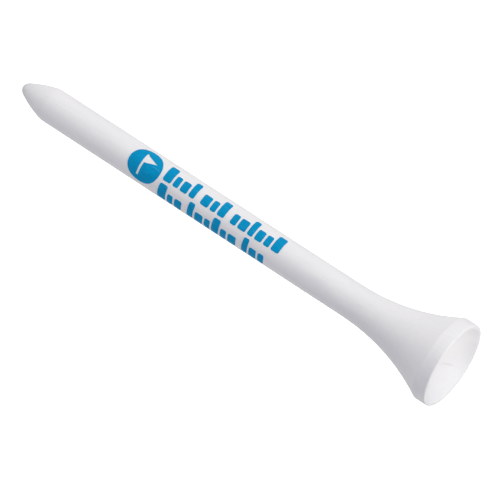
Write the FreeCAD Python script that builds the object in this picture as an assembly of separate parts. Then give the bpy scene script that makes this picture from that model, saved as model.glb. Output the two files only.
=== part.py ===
import FreeCAD, Part

# A wooden golf tee, in millimetres. The tee stands as it does in turf, with +Z up: the tip of its point
# is the origin, its axis is +Z and its cup faces up. The print faces -Y and reads from the point towards
# the cup.
#
# Pieces: the turned wooden blank, the lacquer that covers it all round, and the ink on the shank, which
# is a round badge and two rows of plain blocks. The outline below is the outside of the lacquer, and the
# blank is the same outline set in by the lacquer's thickness.

import math
import os

from FreeCAD import Vector

# Overall size, over the lacquer
LENGTH = 69.85
HEAD_RADIUS = 6.0
SHANK_RADIUS = 2.39
LACQUER_THICKNESS = 0.09
INK_THICKNESS = 0.04

# Point: a blunt round tip, then an arc that swells out to the shoulder
TIP_RADIUS = 1.0
SHOULDER_HEIGHT = 4.65
SHOULDER_SLOPE = math.radians(11.4)
SHOULDER_BLEND = 2.0

# Head: one long hollow arc from the shank out to a short straight band
FLARE_RADIUS = 29.3
BAND_HEIGHT = 1.94
BAND_BLEND = 0.5

# Rim and cup: a narrow flat rim with soft edges round a shallow dish
RIM_OUTER_BLEND = 0.25
RIM_INNER_BLEND = 0.2
CUP_MOUTH_RADIUS = 5.4
CUP_DEPTH = 2.6

# Print. Angles go round the axis from -Y and are positive towards -X, which is also upwards in the print.
PRINT_START = 15.0
PRINT_END = 45.0
BADGE_HEIGHT = 21.1
BADGE_RADIUS = 2.45
BADGE_POINTS = 24
FLAG_POLE_LENGTH = 3.2
FLAG_POLE_WIDTH = 0.32
FLAG_POLE_OFFSET = -0.65
PENNANT_LENGTH = 1.75
PENNANT_HEIGHT = 1.4
ROW_START = 24.15
BLOCK_CORNER = 0.25
BLOCK_LENGTHS = (1.25, 0.85, 1.1, 0.9)
BLOCK_HEIGHTS = (2.4, 1.55, 1.55)
BLOCK_GAP = 0.32
WORD_GAP = 1.0
UPPER_ROW_FOOT_ANGLE = -6.0
UPPER_ROW_WORDS = (4, 3, 6)
LOWER_ROW_FOOT_ANGLE = -73.0
LOWER_ROW_WORDS = (3, 6, 3)

AXIS_POINT = Vector(0, 0, 0)
AXIS = Vector(0, 0, 1)
TOUCHING = 1e-6


class OutlineArc:
    """One round stretch of the outline, in the plane of the radius r and the height z. Material lies
    inside its circle where it bulges and outside where it is hollow."""

    def __init__(self, centre, radius, start, end, bulges):
        self.centre = centre
        self.radius = radius
        self.start = start
        self.end = end
        self.bulges = bulges

    def point(self, share, inset):
        """The point this share of the way along, with the outline set in by some depth."""
        angle = self.start + share * (self.end - self.start)
        radius = self.radius - inset if self.bulges else self.radius + inset
        r = self.centre[0] + radius * math.cos(angle)
        z = self.centre[1] + radius * math.sin(angle)
        return Vector(r, 0, z)

    def edge(self, inset):
        start, middle, end = (self.point(share, inset) for share in (0, 0.5, 1))
        return Part.Arc(start, middle, end).toShape()


def direction(start, end):
    """Angle of the line from one (r, z) point to another."""
    return math.atan2(end[1] - start[1], end[0] - start[0])


def point_arcs():
    """The round tip, the arc that swells to the shoulder, and the blend from that arc into the shank."""
    rise = SHOULDER_HEIGHT - TIP_RADIUS
    spare = SHANK_RADIUS * math.cos(SHOULDER_SLOPE) - rise * math.sin(SHOULDER_SLOPE) - TIP_RADIUS
    swell_radius = (SHANK_RADIUS**2 + rise**2 - TIP_RADIUS**2) / (2 * spare)
    tip = (0, TIP_RADIUS)
    swell = (
        SHANK_RADIUS - swell_radius * math.cos(SHOULDER_SLOPE),
        SHOULDER_HEIGHT + swell_radius * math.sin(SHOULDER_SLOPE),
    )
    blend_r = SHANK_RADIUS - SHOULDER_BLEND
    blend_drop = math.sqrt((swell_radius - SHOULDER_BLEND) ** 2 - (blend_r - swell[0]) ** 2)
    blend = (blend_r, swell[1] - blend_drop)
    tip_end = direction(swell, tip)
    swell_end = direction(swell, blend)
    return [
        OutlineArc(tip, TIP_RADIUS, -math.pi / 2, tip_end, True),
        OutlineArc(swell, swell_radius, tip_end, swell_end, True),
        OutlineArc(blend, SHOULDER_BLEND, swell_end, 0, True),
    ]


def head_arcs():
    """The hollow flare, the blend into the band, and the round outer edge of the rim."""
    spread = HEAD_RADIUS - SHANK_RADIUS
    flare_height = math.sqrt(2 * FLARE_RADIUS * spread - spread**2)
    flare = (SHANK_RADIUS + FLARE_RADIUS, LENGTH - BAND_HEIGHT - flare_height)
    blend_r = HEAD_RADIUS - BAND_BLEND
    blend_rise = math.sqrt((FLARE_RADIUS + BAND_BLEND) ** 2 - (flare[0] - blend_r) ** 2)
    blend = (blend_r, flare[1] + blend_rise)
    rim = (HEAD_RADIUS - RIM_OUTER_BLEND, LENGTH - RIM_OUTER_BLEND)
    flare_end = direction(flare, blend)
    return [
        OutlineArc(flare, FLARE_RADIUS, math.pi, flare_end, False),
        OutlineArc(blend, BAND_BLEND, flare_end - math.pi, 0, True),
        OutlineArc(rim, RIM_OUTER_BLEND, 0, math.pi / 2, True),
    ]


def cup_arcs():
    """The round inner edge of the rim, and the dish down to its middle."""
    dish_radius = (CUP_MOUTH_RADIUS**2 + CUP_DEPTH**2) / (2 * CUP_DEPTH)
    dish = (0, LENGTH - CUP_DEPTH + dish_radius)
    rim_z = LENGTH - RIM_INNER_BLEND
    rim = (math.sqrt((dish_radius + RIM_INNER_BLEND) ** 2 - (dish[1] - rim_z) ** 2), rim_z)
    rim_end = direction(dish, rim)
    return [
        OutlineArc(rim, RIM_INNER_BLEND, math.pi / 2, rim_end + math.pi, True),
        OutlineArc(dish, dish_radius, rim_end, -math.pi / 2, False),
    ]


def turned(inset):
    """The outline, set in by some depth and turned about the axis."""
    edges = []
    here = None
    for arc in point_arcs() + head_arcs() + cup_arcs():
        start = arc.point(0, inset)
        if here is not None and here.distanceToPoint(start) > TOUCHING:
            edges.append(Part.LineSegment(here, start).toShape())
        edges.append(arc.edge(inset))
        here = arc.point(1, inset)
    foot = edges[0].Vertexes[0].Point
    edges.append(Part.LineSegment(here, foot).toShape())
    half_section = Part.Face(Part.Wire(edges))
    return half_section.revolve(AXIS_POINT, AXIS, 360)


def make_tee_blank():
    return turned(LACQUER_THICKNESS)


def make_lacquer_coat(blank):
    """A closed shell: the outline outside, the blank inside."""
    return turned(0).cut(blank).Solids[0]


def ink_film():
    """The thin tube on the shank that all the ink is cut from."""
    height = PRINT_END - PRINT_START
    foot = Vector(0, 0, PRINT_START)
    outside = Part.makeCylinder(SHANK_RADIUS + INK_THICKNESS, height, foot)
    return outside.cut(Part.makeCylinder(SHANK_RADIUS, height, foot))


def wrapped(along, up):
    """Where a point of the print lies, seen square from -Y, once the print is wrapped round the shank."""
    return Vector(-SHANK_RADIUS * math.sin(up / SHANK_RADIUS), 0, along)


def stamp(outline):
    """The ink under a closed outline on the front of the shank."""
    reach = Vector(0, -2 * SHANK_RADIUS, 0)
    return Part.Face(outline).extrude(reach)


def badge_outline():
    points = []
    for step in range(BADGE_POINTS):
        angle = 2 * math.pi * step / BADGE_POINTS
        along = BADGE_HEIGHT + BADGE_RADIUS * math.cos(angle)
        points.append(wrapped(along, BADGE_RADIUS * math.sin(angle)))
    curve = Part.BSplineCurve()
    curve.interpolate(Points=points, PeriodicFlag=True)
    return Part.Wire(curve.toShape())


def polygon_outline(corners):
    points = [wrapped(along, up) for along, up in corners]
    return Part.makePolygon(points + points[:1])


def flag_outlines():
    """A pole and its pennant, left free of ink in the middle of the badge."""
    pole_left = BADGE_HEIGHT + FLAG_POLE_OFFSET
    pole_right = pole_left + FLAG_POLE_WIDTH
    top = FLAG_POLE_LENGTH / 2
    pole = [(pole_left, -top), (pole_right, -top), (pole_right, top), (pole_left, top)]
    pennant = [
        (pole_left, top),
        (pole_right + PENNANT_LENGTH, top - PENNANT_HEIGHT / 2),
        (pole_left, top - PENNANT_HEIGHT),
    ]
    return [polygon_outline(pole), polygon_outline(pennant)]


def make_imprint_badge(film):
    ink = stamp(badge_outline()).common(film)
    for outline in flag_outlines():
        ink = ink.cut(stamp(outline))
    return ink


def make_block(film, start, length, height, foot_angle):
    """One block of a row: a rounded rectangle of ink, with its foot at an angle round the shank."""
    half_height = -wrapped(0, height / 2).x
    depth = 2 * SHANK_RADIUS
    corner = Vector(-half_height, -depth, start)
    slab = Part.makeBox(2 * half_height, depth, length, corner)
    through = [edge for edge in slab.Edges if edge.BoundBox.YLength > depth / 2]
    block = slab.makeFillet(BLOCK_CORNER, through).common(film)
    middle_angle = foot_angle + math.degrees(height / 2 / SHANK_RADIUS)
    block.rotate(AXIS_POINT, AXIS, -middle_angle)
    return block


def make_imprint_row(film, words, foot_angle):
    """A row of tall and low blocks on one foot line, in groups with a wider gap after each group."""
    blocks = []
    start = ROW_START
    for count in words:
        for _ in range(count):
            length = BLOCK_LENGTHS[len(blocks) % len(BLOCK_LENGTHS)]
            height = BLOCK_HEIGHTS[len(blocks) % len(BLOCK_HEIGHTS)]
            blocks.append(make_block(film, start, length, height, foot_angle))
            start += length + BLOCK_GAP
        start += WORD_GAP - BLOCK_GAP
    solids = [solid for block in blocks for solid in block.Solids]
    return Part.makeCompound(solids)


def main():
    blank = make_tee_blank()
    film = ink_film()
    parts = {
        "tee_blank": blank,
        "lacquer_coat": make_lacquer_coat(blank),
        "imprint_badge": make_imprint_badge(film),
        "imprint_upper_row": make_imprint_row(film, UPPER_ROW_WORDS, UPPER_ROW_FOOT_ANGLE),
        "imprint_lower_row": make_imprint_row(film, LOWER_ROW_WORDS, LOWER_ROW_FOOT_ANGLE),
    }
    os.makedirs("parts", exist_ok=True)
    for name, shape in parts.items():
        shape.exportStep("parts/%s.step" % name)


main()
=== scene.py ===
import math

import bmesh
import bpy
import numpy as np
from mathutils import Matrix, Quaternion, Vector, noise


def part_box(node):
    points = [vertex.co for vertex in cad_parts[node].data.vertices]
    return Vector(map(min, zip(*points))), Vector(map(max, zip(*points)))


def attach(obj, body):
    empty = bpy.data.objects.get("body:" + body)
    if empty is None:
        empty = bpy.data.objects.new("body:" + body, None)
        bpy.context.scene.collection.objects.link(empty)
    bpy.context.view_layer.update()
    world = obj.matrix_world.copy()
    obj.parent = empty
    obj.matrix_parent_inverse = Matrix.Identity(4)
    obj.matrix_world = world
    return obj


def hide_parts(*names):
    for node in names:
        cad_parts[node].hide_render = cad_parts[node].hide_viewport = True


# The looks of a lacquered wooden golf tee. Lengths in this file are in millimetres unless a name says
# otherwise. Blender works in metres here, and MM is one millimetre in metres. Points closer together than
# WELD count as one point. The tee stands on its point with +Z up. Angles round its axis start at -Y, the
# middle of the printed side, and are positive towards -X.

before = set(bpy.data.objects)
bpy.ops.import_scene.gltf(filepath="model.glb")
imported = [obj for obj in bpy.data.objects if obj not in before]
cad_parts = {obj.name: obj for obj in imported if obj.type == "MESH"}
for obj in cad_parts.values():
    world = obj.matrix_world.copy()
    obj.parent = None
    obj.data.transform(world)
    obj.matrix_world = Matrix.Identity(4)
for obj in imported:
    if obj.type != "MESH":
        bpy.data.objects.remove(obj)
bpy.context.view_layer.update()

MM = 0.001
WELD = 1e-4

# ---- sizes read from the frame ----
COAT_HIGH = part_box("lacquer_coat")[1] / MM
BLANK_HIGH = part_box("tee_blank")[1] / MM
LENGTH = COAT_HIGH.z
HEAD_RADIUS = COAT_HIGH.x
COAT_THICKNESS = LENGTH - BLANK_HIGH.z

# ---- the outline between those sizes ----
SHANK_RADIUS = 2.39
TIP_RADIUS = 1.0
SHOULDER_HEIGHT = 4.65
SHOULDER_SLOPE = math.radians(11.4)
SHOULDER_BLEND = 2.0
FLARE_RADIUS = 29.3
BAND_HEIGHT = 1.94
BAND_BLEND = 0.5
RIM_OUTER_BLEND = 0.25
RIM_INNER_BLEND = 0.2
CUP_MOUTH_RADIUS = 5.4
CUP_DEPTH = 2.6

# ---- mesh density of the lacquer ----
OUTSIDE_SEGMENTS = 192
INSIDE_SEGMENTS = 64
OUTSIDE_SPACING = 0.28
INSIDE_SPACING = 0.8
LEAST_STEPS_PER_ARC = 5

# ---- relief of the lacquered surface. A pattern is drawn out along the axis by its stretch ----
GRAIN_DEPTH = 0.012
GRAIN_PITCH = 0.42
GRAIN_STRETCH = 16.0
GRAIN_SHARE_ON_HEAD = 0.35
SAG_DEPTH = 0.012
SAG_PITCH = 3.2
SAG_STRETCH = 2.0
SAG_SHIFT = Vector((7, 3, 1))
HEAD_RELIEF_BEGINS = 53.9
HEAD_RELIEF_FULL = 62.9
RING_DEPTH = 0.0015
RING_PITCH = 0.55
RING_LEAN = 0.6
RING_PATCH = 1.7

# ---- one small scuff on the far wall of the cup: a shallow groove, darkened grey with painted shade ----
SCUFF_PLACE = Vector((0.18, 3.2, LENGTH - 1.85))
SCUFF_TURN = math.radians(17)
SCUFF_HALF_WIDTH = 0.22
SCUFF_HALF_LENGTH = 1.4
SCUFF_HALF_HEIGHT = 2.0
SCUFF_DEPTH = 0.04
SCUFF_SHADE_SHARE = 0.3
SCUFF_SHADE_FULL_AT = 0.6

# ---- ink ----
INK_CUT_ACROSS = 0.16
INK_CUT_ALONG = 0.22
INK_CUT_SNAP = 0.01
INK_EDGE_WANDER = 0.022
INK_EDGE_PITCH = 0.21
INK_EDGE_LAYER_ACROSS = 11
INK_EDGE_LAYER_ALONG = 37
INK_CREASE = math.radians(40)

# ---- colours, scene linear ----
LACQUER_WHITE = (0.872, 0.87, 0.87)
LACQUER_COOL = (0.848, 0.85, 0.858)
FIBRE_GREY = (0.79, 0.785, 0.785)
SCUFF_SHADE_GREY = (0.62, 0.61, 0.62)
INK_BLUE = (0.0, 0.315, 0.61)
INK_DEEP = (0.0, 0.275, 0.54)
BIRCH_PALE = (0.72, 0.56, 0.37)
BIRCH_DARK = (0.56, 0.39, 0.22)

# ---- camera: it looks along +Y and down, and is rolled so that the tee lies across the picture ----
CAMERA_DISTANCE = 644.5
CAMERA_ELEVATION = math.radians(19.75)
CAMERA_ROLL = math.radians(123.1)
CAMERA_RIGHT = 1.96
CAMERA_DOWN = 3.32
CAMERA_LENS = 362.3
CAMERA_SENSOR = 36.0
CAMERA_CLIP_END_M = 100

# ---- studio: name, azimuth, elevation, watts, colour. Azimuth 0 is the camera's side ----
LIGHTS = (
    ("key_light", -54.0, 9.0, 7.5, (1.0, 0.976, 0.897)),
    ("top_light", 0.0, 80.0, 6.55, (1.0, 0.977, 0.891)),
    ("rear_light", 135.0, 40.0, 3.1, (1.0, 0.928, 0.748)),
)
LIGHT_DISTANCE_M = 1.0
LIGHT_WIDTH_M = 1.0
WORLD_COLOUR = (0.83, 0.88, 1.35)
WORLD_STRENGTH = 0.2
WORLD_COLOUR_SEEN = (1.0, 1.0, 1.0)
WORLD_STRENGTH_SEEN = 1.0
FLOOR_WHITE = (0.8, 0.8, 0.8)
FLOOR_GLOW_SEEN = 0.9
FLOOR_RADIUS_M = 40.0
FLOOR_CORNERS = 96


# ---------------------------------------------------------------- outline of the turned shape


def direction(start, end):
    """Angle of the line from one (r, z) point to another."""
    return math.atan2(end[1] - start[1], end[0] - start[0])


def point_arcs(inset):
    """The blunt tip, the swell behind it and the soft shoulder, each as (centre, radius, start, end)."""
    rise = SHOULDER_HEIGHT - TIP_RADIUS
    spare = SHANK_RADIUS * math.cos(SHOULDER_SLOPE) - rise * math.sin(SHOULDER_SLOPE) - TIP_RADIUS
    swell_radius = (SHANK_RADIUS**2 + rise**2 - TIP_RADIUS**2) / (2 * spare)
    tip = (0, TIP_RADIUS)
    swell = (
        SHANK_RADIUS - swell_radius * math.cos(SHOULDER_SLOPE),
        SHOULDER_HEIGHT + swell_radius * math.sin(SHOULDER_SLOPE),
    )
    blend_r = SHANK_RADIUS - SHOULDER_BLEND
    blend_drop = math.sqrt((swell_radius - SHOULDER_BLEND) ** 2 - (blend_r - swell[0]) ** 2)
    blend = (blend_r, swell[1] - blend_drop)
    tip_end = direction(swell, tip)
    swell_end = direction(swell, blend)
    return [
        (tip, TIP_RADIUS - inset, -math.pi / 2, tip_end),
        (swell, swell_radius - inset, tip_end, swell_end),
        (blend, SHOULDER_BLEND - inset, swell_end, 0),
    ]


def head_arcs(inset):
    """The hollow flare, the blend into the band and the round outer edge of the rim."""
    spread = HEAD_RADIUS - SHANK_RADIUS
    flare_height = math.sqrt(2 * FLARE_RADIUS * spread - spread**2)
    flare = (SHANK_RADIUS + FLARE_RADIUS, LENGTH - BAND_HEIGHT - flare_height)
    blend_r = HEAD_RADIUS - BAND_BLEND
    blend_rise = math.sqrt((FLARE_RADIUS + BAND_BLEND) ** 2 - (flare[0] - blend_r) ** 2)
    blend = (blend_r, flare[1] + blend_rise)
    rim = (HEAD_RADIUS - RIM_OUTER_BLEND, LENGTH - RIM_OUTER_BLEND)
    flare_end = direction(flare, blend)
    return [
        (flare, FLARE_RADIUS + inset, math.pi, flare_end),
        (blend, BAND_BLEND - inset, flare_end - math.pi, 0),
        (rim, RIM_OUTER_BLEND - inset, 0, math.pi / 2),
    ]


def cup_arcs(inset):
    """The round inner edge of the rim, and the dish down to its middle."""
    dish_radius = (CUP_MOUTH_RADIUS**2 + CUP_DEPTH**2) / (2 * CUP_DEPTH)
    dish = (0, LENGTH - CUP_DEPTH + dish_radius)
    rim_z = LENGTH - RIM_INNER_BLEND
    rim = (math.sqrt((dish_radius + RIM_INNER_BLEND) ** 2 - (dish[1] - rim_z) ** 2), rim_z)
    rim_end = direction(dish, rim)
    return [
        (rim, RIM_INNER_BLEND - inset, math.pi / 2, rim_end + math.pi),
        (dish, dish_radius + inset, rim_end, -math.pi / 2),
    ]


def arc_points(centre, radius, start, end, spacing):
    """Points (r, z) along a circle from one angle to another, both ends included."""
    steps = max(LEAST_STEPS_PER_ARC, math.ceil(radius * abs(end - start) / spacing))
    angles = np.linspace(start, end, steps + 1)
    return list(zip(centre[0] + radius * np.cos(angles), centre[1] + radius * np.sin(angles)))


def line_points(start, end, spacing):
    """Points (r, z) along a line, both ends included, or a single point where the ends meet."""
    gap = math.dist(start, end)
    steps = math.ceil(gap / spacing) if gap > WELD else 0
    return [tuple(point) for point in np.linspace(start, end, steps + 1)]


def outline(inset, spacing):
    """The outline from the tip to the middle of the cup, set in, as points about spacing apart."""
    points = []
    for arc in point_arcs(inset) + head_arcs(inset) + cup_arcs(inset):
        stretch = arc_points(*arc, spacing)
        if points:
            points += line_points(points.pop(), stretch.pop(0), spacing)
        points += stretch
    return points


def outline_normals(points):
    """Unit normals (r, z) that point out of the material at each point of the outline."""
    along = np.gradient(np.array(points), axis=0)
    along[0] = (1, 0)
    along[-1] = (-1, 0)
    normals = np.stack([along[:, 1], -along[:, 0]], axis=1)
    return normals / np.linalg.norm(normals, axis=1)[:, None]


# ---------------------------------------------------------------- relief of the lacquered surface


def around(angle, r, z):
    """The point at an angle round the axis."""
    return Vector((-r * math.sin(angle), -r * math.cos(angle), z))


def headwardness(z):
    """0 on the shank, rising to 1 up the flare."""
    share = (z - HEAD_RELIEF_BEGINS) / (HEAD_RELIEF_FULL - HEAD_RELIEF_BEGINS)
    return min(1.0, max(0.0, share))


def grain(place):
    """Long shallow furrows, where the open grain of the wood shows through the lacquer."""
    stretched = Vector((place.x, place.y, place.z / GRAIN_STRETCH))
    furrow = noise.noise(stretched / GRAIN_PITCH)
    share = 1 - (1 - GRAIN_SHARE_ON_HEAD) * headwardness(place.z)
    return -GRAIN_DEPTH * share * max(0.0, furrow) ** 2


def sag(place):
    """The slow unevenness of a coat that ran a little before it dried."""
    stretched = Vector((place.x, place.y, place.z / SAG_STRETCH))
    return SAG_DEPTH * noise.noise(stretched / SAG_PITCH + SAG_SHIFT)


def rings(place):
    """The faint rings that the cutter left round the head and in the cup."""
    radius = math.hypot(place.x, place.y)
    phase = 2 * math.pi * (place.z + RING_LEAN * radius) / RING_PITCH
    strength = (1 + noise.noise(Vector((0, 0, place.z / RING_PATCH + radius)))) / 2
    return RING_DEPTH * headwardness(place.z) * strength * math.sin(phase)


def scuff(place):
    """The groove of the scuff: deepest in its middle, and gone at the edges of an ellipsoid round it."""
    offset = Matrix.Rotation(-SCUFF_TURN, 3, "Z") @ (place - SCUFF_PLACE)
    across = offset.x / SCUFF_HALF_WIDTH
    along = offset.y / SCUFF_HALF_LENGTH
    down = offset.z / SCUFF_HALF_HEIGHT
    return -SCUFF_DEPTH * max(0.0, 1 - across**2 - along**2 - down**2)


def relief(place):
    """How far the lacquer stands proud of its outline at a point."""
    return grain(place) + sag(place) + rings(place) + scuff(place)


def flat_relief(place):
    return 0.0


# ---------------------------------------------------------------- pieces


def add_piece(name, build, material, node):
    """Turns a finished bmesh into a smooth-shaded piece that stands for one CAD node."""
    mesh = bpy.data.meshes.new(name)
    build.to_mesh(mesh)
    build.free()
    mesh.shade_smooth()
    mesh.materials.append(material)
    piece = bpy.data.objects.new(name, mesh)
    bpy.context.scene.collection.objects.link(piece)
    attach(piece, "root")
    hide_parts(node)
    return piece


def lathe(build, points, segments, lift_at, outward):
    """Turns an outline about the axis into a closed skin, lifted along its normals and facing out or in."""
    rows = []
    for (r, z), (normal_r, normal_z) in zip(points, outline_normals(points)):
        copies = segments if r > WELD else 1
        row = []
        for segment in range(copies):
            angle = 2 * math.pi * segment / segments
            place = around(angle, r, z)
            place += lift_at(place) * around(angle, normal_r, normal_z)
            row.append(build.verts.new(place * MM))
        rows.append(row)
    for lower, upper in zip(rows, rows[1:]):
        for segment in range(segments):
            following = (segment + 1) % segments
            corners = [
                lower[segment % len(lower)],
                upper[segment % len(upper)],
                upper[following % len(upper)],
                lower[following % len(lower)],
            ]
            loop = list(dict.fromkeys(corners))
            build.faces.new(loop if outward else reversed(loop))


def make_coat(material):
    """The lacquer: a closed shell with a finely uneven outside and a plain inside."""
    build = bmesh.new()
    lathe(build, outline(0, OUTSIDE_SPACING), OUTSIDE_SEGMENTS, relief, outward=True)
    lathe(build, outline(COAT_THICKNESS, INSIDE_SPACING), INSIDE_SEGMENTS, flat_relief, outward=False)
    add_piece("lacquer_skin", build, material, "lacquer_coat")


def unrolled(place):
    """A point of the print as (distance up round the shank, height along it, height over the lacquer)."""
    angle = math.atan2(-place.x, -place.y)
    return Vector((SHANK_RADIUS * angle, place.z, math.hypot(place.x, place.y) - SHANK_RADIUS))


def rolled(flat):
    """The opposite of unrolled, laid on the uneven lacquer."""
    angle = flat.x / SHANK_RADIUS
    lift = relief(around(angle, SHANK_RADIUS, flat.y))
    return around(angle, SHANK_RADIUS + lift + flat.z, flat.y)


def wandered(flat):
    """A point of the unrolled print, moved a little sideways so that ink edges aren't perfectly crisp. Each
    direction has its own layer of the noise."""
    across = noise.noise(Vector((flat.x, flat.y, INK_EDGE_LAYER_ACROSS)) / INK_EDGE_PITCH)
    along = noise.noise(Vector((flat.x, flat.y, INK_EDGE_LAYER_ALONG)) / INK_EDGE_PITCH)
    return flat + INK_EDGE_WANDER * Vector((across, along, 0))


def cut_across(build, axis, spacing, snap):
    """Cuts a flat mesh along evenly spaced planes, so that it can bend. A cut goes through any point that
    lies within snap of it, which leaves no slivers."""
    places = [vert.co[axis] for vert in build.verts]
    normal = Vector((0, 0, 0))
    normal[axis] = 1
    cut = math.ceil(min(places) / spacing) * spacing
    while cut < max(places):
        everything = build.verts[:] + build.edges[:] + build.faces[:]
        bmesh.ops.bisect_plane(build, geom=everything, dist=snap, plane_co=normal * cut, plane_no=normal)
        cut += spacing


def make_ink(node, name, material):
    """The ink of one CAD node, cut finely and laid on the uneven lacquer with slightly ragged edges."""
    build = bmesh.new()
    build.from_mesh(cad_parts[node].data)
    for vert in build.verts:
        vert.co = unrolled(vert.co / MM)
    bmesh.ops.remove_doubles(build, verts=build.verts, dist=WELD)
    cut_across(build, 0, INK_CUT_ACROSS, INK_CUT_SNAP)
    cut_across(build, 1, INK_CUT_ALONG, INK_CUT_SNAP)
    for vert in build.verts:
        vert.co = rolled(wandered(vert.co)) * MM
    bmesh.ops.triangulate(build, faces=build.faces)
    piece = add_piece(name, build, material, node)
    piece.data.set_sharp_from_angle(angle=INK_CREASE)


def dress_blank(material):
    """The wooden blank is the CAD part itself, with a better material."""
    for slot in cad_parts["tee_blank"].material_slots:
        slot.material = material


# ---------------------------------------------------------------- materials


class Nodes:
    """A new material's node tree, with a short way to add nodes and join them."""

    # Places of the sockets that the mix node uses for colours. Their names repeat, so they need numbers.
    MIX_SHARE = 0
    MIX_COLOURS = (6, 7)
    MIX_RESULT = 2

    def __init__(self, name):
        self.material = bpy.data.materials.new(name)
        self.material.use_nodes = True
        self.tree = self.material.node_tree
        self.tree.nodes.clear()
        self.surface = self.add("ShaderNodeOutputMaterial").inputs["Surface"]
        self.place = self.add("ShaderNodeTexCoord").outputs["Object"]

    def add(self, kind, **values):
        node = self.tree.nodes.new(kind)
        for name, value in values.items():
            setattr(node, name, value)
        return node

    def join(self, output, socket):
        self.tree.links.new(output, socket)

    def noise(self, pitch, detail, roughness=0.5):
        """Cloudy noise between 0 and 1. pitch is the size of its clouds along x, y and z."""
        mapping = self.add("ShaderNodeMapping")
        mapping.inputs["Scale"].default_value = [1 / (step * MM) for step in pitch]
        self.join(self.place, mapping.inputs["Vector"])
        texture = self.add("ShaderNodeTexNoise")
        texture.inputs["Scale"].default_value = 1.0
        texture.inputs["Detail"].default_value = detail
        texture.inputs["Roughness"].default_value = roughness
        self.join(mapping.outputs["Vector"], texture.inputs["Vector"])
        return texture.outputs["Fac"]

    def ranged(self, value, source, target):
        """A value carried over from one range to another, and held inside it."""
        ranged = self.add("ShaderNodeMapRange")
        ranged.inputs["From Min"].default_value, ranged.inputs["From Max"].default_value = source
        ranged.inputs["To Min"].default_value, ranged.inputs["To Max"].default_value = target
        self.join(value, ranged.inputs["Value"])
        return ranged.outputs["Result"]

    def mixed(self, share, *colours):
        """A blend of two colours, each of them fixed or worked out by other nodes."""
        mix = self.add("ShaderNodeMix", data_type="RGBA")
        for index, colour in zip(self.MIX_COLOURS, colours):
            if isinstance(colour, tuple):
                mix.inputs[index].default_value = (*colour, 1)
            else:
                self.join(colour, mix.inputs[index])
        self.join(share, mix.inputs[self.MIX_SHARE])
        return mix.outputs[self.MIX_RESULT]

    def nearness(self, centre, half_sizes, turn):
        """1 at the centre of an ellipsoid that is turned about Z, falling to 0 at its surface."""
        mapping = self.add("ShaderNodeMapping", vector_type="TEXTURE")
        mapping.inputs["Location"].default_value = centre * MM
        mapping.inputs["Rotation"].default_value = (0, 0, turn)
        mapping.inputs["Scale"].default_value = [size * MM for size in half_sizes]
        self.join(self.place, mapping.inputs["Vector"])
        distance = self.add("ShaderNodeVectorMath", operation="LENGTH")
        self.join(mapping.outputs["Vector"], distance.inputs[0])
        return self.ranged(distance.outputs["Value"], source=(0, 1), target=(1, 0))

    def bump(self, height, depth, before=None):
        bump = self.add("ShaderNodeBump")
        bump.inputs["Distance"].default_value = depth * MM
        self.join(height, bump.inputs["Height"])
        if before:
            self.join(before, bump.inputs["Normal"])
        return bump.outputs["Normal"]

    def shade(self, colour, roughness, normal, specular=0.5):
        """Joins the finished surface to the output and returns the material."""
        shader = self.add("ShaderNodeBsdfPrincipled")
        shader.inputs["Specular IOR Level"].default_value = specular
        self.join(colour, shader.inputs["Base Color"])
        self.join(roughness, shader.inputs["Roughness"])
        self.join(normal, shader.inputs["Normal"])
        self.join(shader.outputs["BSDF"], self.surface)
        return self.material


def lacquer_material():
    """Satin white lacquer, cooler in patches, with fine orange peel, a hint of fibres and a scuff whose
    groove is darkened with painted shade.
    """
    nodes = Nodes("satin_white_lacquer")
    patches = nodes.noise(pitch=(2.6, 2.6, 7.0), detail=3.0)
    fibres = nodes.noise(pitch=(0.16, 0.16, 3.4), detail=2.0)
    peel = nodes.noise(pitch=(0.34, 0.34, 0.34), detail=1.0)
    patch_share = nodes.ranged(patches, source=(0.35, 0.65), target=(0, 1))
    fibre_share = nodes.ranged(fibres, source=(0.55, 0.8), target=(0, 0.7))
    colour = nodes.mixed(patch_share, LACQUER_WHITE, LACQUER_COOL)
    colour = nodes.mixed(fibre_share, colour, FIBRE_GREY)
    scuff_size = (SCUFF_HALF_WIDTH, SCUFF_HALF_LENGTH, SCUFF_HALF_HEIGHT)
    near_scuff = nodes.nearness(SCUFF_PLACE, scuff_size, SCUFF_TURN)
    # Painted shade: grey mixed into the scuff's groove, darkest in its middle, standing in for the shadow
    # that a steeper groove would hold.
    groove_shade_share = nodes.ranged(near_scuff, source=(0, SCUFF_SHADE_FULL_AT), target=(0, SCUFF_SHADE_SHARE))
    colour = nodes.mixed(groove_shade_share, colour, SCUFF_SHADE_GREY)
    roughness = nodes.ranged(peel, source=(0.3, 0.7), target=(0.44, 0.54))
    normal = nodes.bump(peel, depth=0.006)
    normal = nodes.bump(fibres, depth=0.008, before=normal)
    return nodes.shade(colour, roughness, normal)


def ink_material():
    """Satin blue ink with an uneven film, through which the lacquer shows a little along the fibres."""
    nodes = Nodes("blue_printing_ink")
    film = nodes.noise(pitch=(0.5, 0.5, 0.9), detail=3.0)
    fibres = nodes.noise(pitch=(0.12, 0.12, 2.2), detail=2.0)
    film_share = nodes.ranged(film, source=(0.3, 0.7), target=(0, 1))
    fibre_share = nodes.ranged(fibres, source=(0.66, 0.82), target=(0, 0.25))
    colour = nodes.mixed(film_share, INK_BLUE, INK_DEEP)
    colour = nodes.mixed(fibre_share, colour, LACQUER_COOL)
    roughness = nodes.ranged(film, source=(0.3, 0.7), target=(0.42, 0.55))
    normal = nodes.bump(fibres, depth=0.003)
    return nodes.shade(colour, roughness, normal, specular=0.06)


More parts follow.
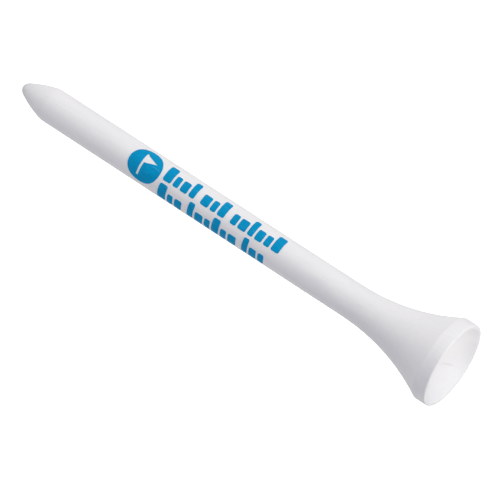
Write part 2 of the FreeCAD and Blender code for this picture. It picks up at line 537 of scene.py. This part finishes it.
def birch_material():
    """Pale turned birch: growth rings cut lengthways, and fine dark fibres along the grain."""
    nodes = Nodes("turned_birch")
    growth = nodes.noise(pitch=(1.5, 3.6, 40.0), detail=2.0)
    fibres = nodes.noise(pitch=(0.13, 0.13, 3.0), detail=3.0, roughness=0.6)
    growth_share = nodes.ranged(growth, source=(0.35, 0.65), target=(0, 1))
    fibre_share = nodes.ranged(fibres, source=(0.6, 0.8), target=(0, 0.6))
    colour = nodes.mixed(growth_share, BIRCH_PALE, BIRCH_DARK)
    colour = nodes.mixed(fibre_share, colour, BIRCH_DARK)
    roughness = nodes.ranged(fibres, source=(0.3, 0.7), target=(0.6, 0.8))
    normal = nodes.bump(fibres, depth=0.02)
    return nodes.shade(colour, roughness, normal)


def floor_material():
    """A plain pale surface that takes soft shadows, with a glow that only the camera sees."""
    nodes = Nodes("pale_floor")
    diffuse = nodes.add("ShaderNodeBsdfDiffuse")
    diffuse.inputs["Color"].default_value = (*FLOOR_WHITE, 1)
    path = nodes.add("ShaderNodeLightPath")
    strength = nodes.ranged(path.outputs["Is Camera Ray"], source=(0, 1), target=(0, FLOOR_GLOW_SEEN))
    glow = nodes.add("ShaderNodeEmission")
    nodes.join(strength, glow.inputs["Strength"])
    both = nodes.add("ShaderNodeAddShader")
    nodes.join(diffuse.outputs["BSDF"], both.inputs[0])
    nodes.join(glow.outputs["Emission"], both.inputs[1])
    nodes.join(both.outputs["Shader"], nodes.surface)
    return nodes.material


# ---------------------------------------------------------------- studio


def make_floor(material):
    """A wide round floor under the point."""
    bpy.ops.mesh.primitive_circle_add(vertices=FLOOR_CORNERS, radius=FLOOR_RADIUS_M, fill_type="NGON")
    floor = bpy.context.object
    floor.name = "floor"
    floor.data.materials.append(material)


def make_world():
    """Soft light from all round, white where the camera sees it."""
    world = bpy.data.worlds.new("studio")
    bpy.context.scene.world = world
    world.use_nodes = True
    tree = world.node_tree
    lighting = tree.nodes["Background"]
    lighting.inputs["Color"].default_value = (*WORLD_COLOUR, 1)
    lighting.inputs["Strength"].default_value = WORLD_STRENGTH
    seen = tree.nodes.new("ShaderNodeBackground")
    seen.inputs["Color"].default_value = (*WORLD_COLOUR_SEEN, 1)
    seen.inputs["Strength"].default_value = WORLD_STRENGTH_SEEN
    path = tree.nodes.new("ShaderNodeLightPath")
    mix = tree.nodes.new("ShaderNodeMixShader")
    tree.links.new(path.outputs["Is Camera Ray"], mix.inputs[0])
    tree.links.new(lighting.outputs["Background"], mix.inputs[1])
    tree.links.new(seen.outputs["Background"], mix.inputs[2])
    tree.links.new(mix.outputs["Shader"], tree.nodes["World Output"].inputs["Surface"])


def make_light(name, azimuth, elevation, watts, colour):
    """A large round soft light, aimed at the middle of the tee."""
    middle = Vector((0, 0, LENGTH / 2)) * MM
    level = math.cos(math.radians(elevation))
    away = around(-math.radians(azimuth), level, math.sin(math.radians(elevation)))
    light = bpy.data.lights.new(name, "AREA")
    light.shape = "DISK"
    light.size = LIGHT_WIDTH_M
    light.energy = watts
    light.color = colour
    lamp = bpy.data.objects.new(name, light)
    lamp.location = middle + away * LIGHT_DISTANCE_M
    lamp.rotation_mode = "QUATERNION"
    lamp.rotation_quaternion = (-away).to_track_quat("-Z", "Y")
    bpy.context.scene.collection.objects.link(lamp)


def make_camera():
    """A long lens that looks down on the printed side, with the tee aslant across the picture."""
    back = around(0, math.cos(CAMERA_ELEVATION), math.sin(CAMERA_ELEVATION))
    turn = (-back).to_track_quat("-Z", "Y") @ Quaternion((0, 0, 1), CAMERA_ROLL)
    shift = turn @ Vector((CAMERA_RIGHT, -CAMERA_DOWN, 0))
    middle = Vector((0, 0, LENGTH / 2))
    camera_data = bpy.data.cameras.new("camera")
    camera_data.lens = CAMERA_LENS
    camera_data.sensor_width = CAMERA_SENSOR
    camera_data.clip_end = CAMERA_CLIP_END_M
    camera = bpy.data.objects.new("camera", camera_data)
    camera.location = (middle + back * CAMERA_DISTANCE + shift) * MM
    camera.rotation_mode = "QUATERNION"
    camera.rotation_quaternion = turn
    bpy.context.scene.collection.objects.link(camera)
    bpy.context.scene.camera = camera
    bpy.context.scene.view_settings.view_transform = "Standard"


# ---------------------------------------------------------------- the scene


dress_blank(birch_material())
make_coat(lacquer_material())
ink = ink_material()
make_ink("imprint_badge", "badge_ink", ink)
make_ink("imprint_upper_row", "upper_row_ink", ink)
make_ink("imprint_lower_row", "lower_row_ink", ink)
make_floor(floor_material())
make_world()
for light in LIGHTS:
    make_light(*light)
make_camera()
